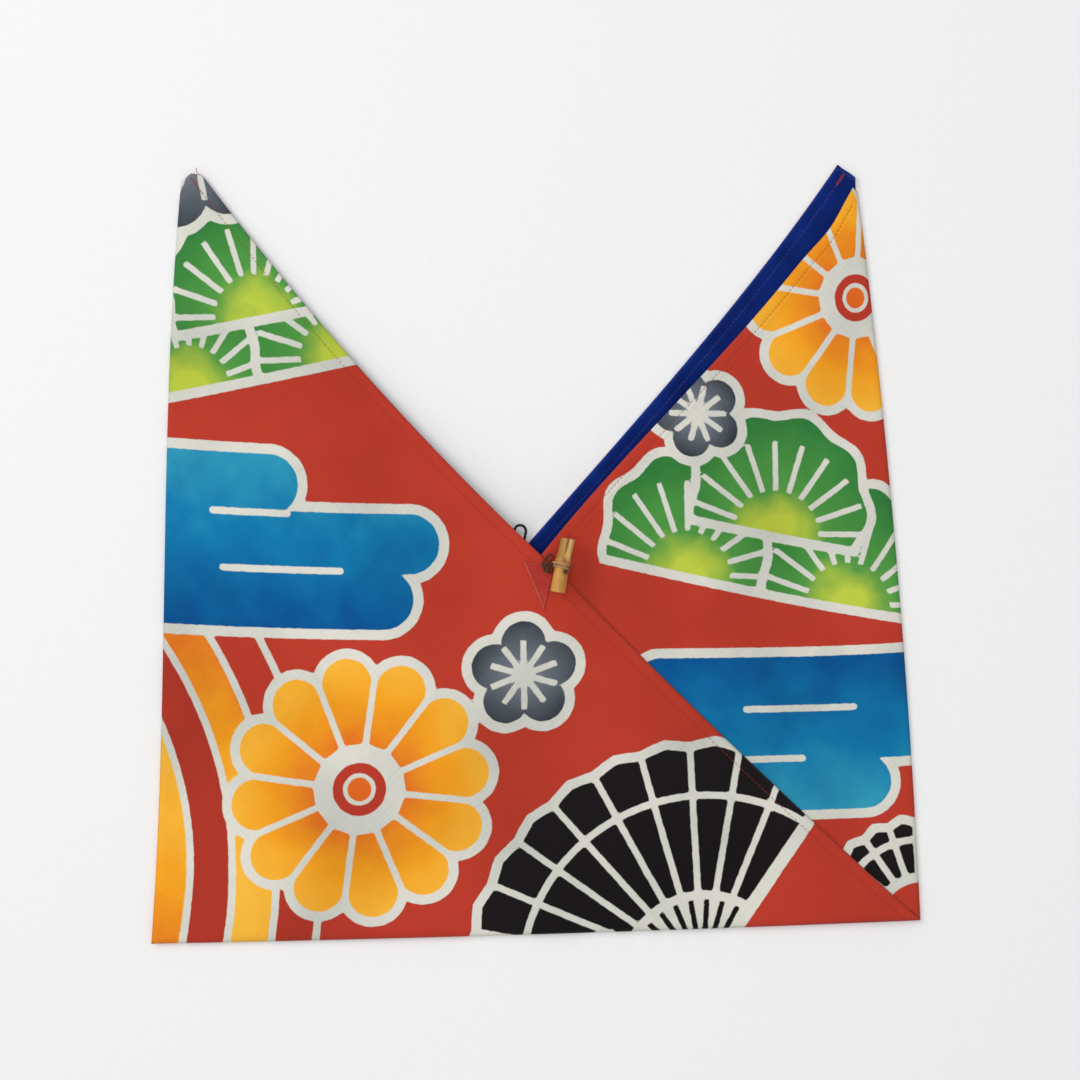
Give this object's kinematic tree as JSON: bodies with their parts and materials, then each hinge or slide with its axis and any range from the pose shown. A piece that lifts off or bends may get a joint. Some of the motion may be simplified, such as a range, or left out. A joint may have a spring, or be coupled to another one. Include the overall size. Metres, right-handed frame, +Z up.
{
  "type": "bento bag",
  "caption": "Lined knot bag of dyed cotton, folded into a flat square with a notched mouth between two tie ears; a bamboo toggle and a cord loop close the mouth.",
  "frame": {"origin": "on the table under the bottom of the front's mouth notch, on the outside of the back cloth", "axes": "bag lying on its back: +X to the right as one faces the front, +Y towards the ears, +Z up out of the front"},
  "size_m": [0.4242, 0.4309, 0.0294],
  "materials": {
    "dyed_cotton": "matte woven",
    "lining_cotton": "matte woven",
    "patch_cotton": "matte woven",
    "bamboo": "satin",
    "brown_cord": "twisted, waxed",
    "dark_cord": "twisted, waxed"
  },
  "bodies": {
    "bag": {"outer_front_left": "dyed_cotton", "lining_front_left": "lining_cotton", "outer_front_base": "dyed_cotton", "lining_front_base": "lining_cotton", "outer_front_right": "dyed_cotton", "lining_front_right": "lining_cotton", "outer_back_left": "dyed_cotton", "lining_back_left": "lining_cotton", "outer_back_base": "dyed_cotton", "lining_back_base": "lining_cotton", "outer_back_right": "dyed_cotton", "lining_back_right": "lining_cotton", "bottom_fold": "dyed_cotton", "left_fold": "dyed_cotton", "right_fold": "dyed_cotton", "mouth_corner_patch": "patch_cotton", "toggle_anchor": "brown_cord", "loop_tail": "dark_cord"},
    "left_ear": {"outer_front_left_ear": "dyed_cotton", "lining_front_left_ear": "lining_cotton", "outer_back_left_ear": "dyed_cotton", "lining_back_left_ear": "lining_cotton", "left_ear_fold": "dyed_cotton"},
    "right_ear": {"outer_front_right_ear": "dyed_cotton", "lining_front_right_ear": "lining_cotton", "outer_back_right_ear": "dyed_cotton", "lining_back_right_ear": "lining_cotton", "right_ear_fold": "dyed_cotton"},
    "shank": {"toggle_knot": "brown_cord"},
    "toggle": {"bamboo_toggle": "bamboo", "toggle_lashing": "brown_cord"},
    "loop": {"loop_bight": "dark_cord"}
  },
  "joints": [
    {"name": "left_ear_hinge", "type": "hinge", "parent": "bag", "child": "left_ear", "pos_m": [-0.0405, 0.04, 0.01402], "axis": [0.9978, 0, 0.0665], "range_deg": [0, 165]},
    {"name": "right_ear_hinge", "type": "hinge", "parent": "bag", "child": "right_ear", "pos_m": [0.035, 0.04, 0.01196], "axis": [0.9982, 0, -0.0607], "range_deg": [0, 165]},
    {"name": "toggle_lift", "type": "hinge", "parent": "bag", "child": "shank", "pos_m": [0.00264, -0.00681, 0.02377], "axis": [0, -1, 0], "range_deg": [0, 110]},
    {"name": "toggle_tilt", "type": "hinge", "parent": "shank", "child": "toggle", "pos_m": [0.0111, -0.0083, 0.02377], "axis": [0, 0, 1], "range_deg": [-35, 32]},
    {"name": "loop_flip", "type": "hinge", "parent": "bag", "child": "loop", "pos_m": [-0.01147, 0.01329, 0.01254], "axis": [0.7115, -0.7027, 0], "range_deg": [0, 90]}
  ]
}
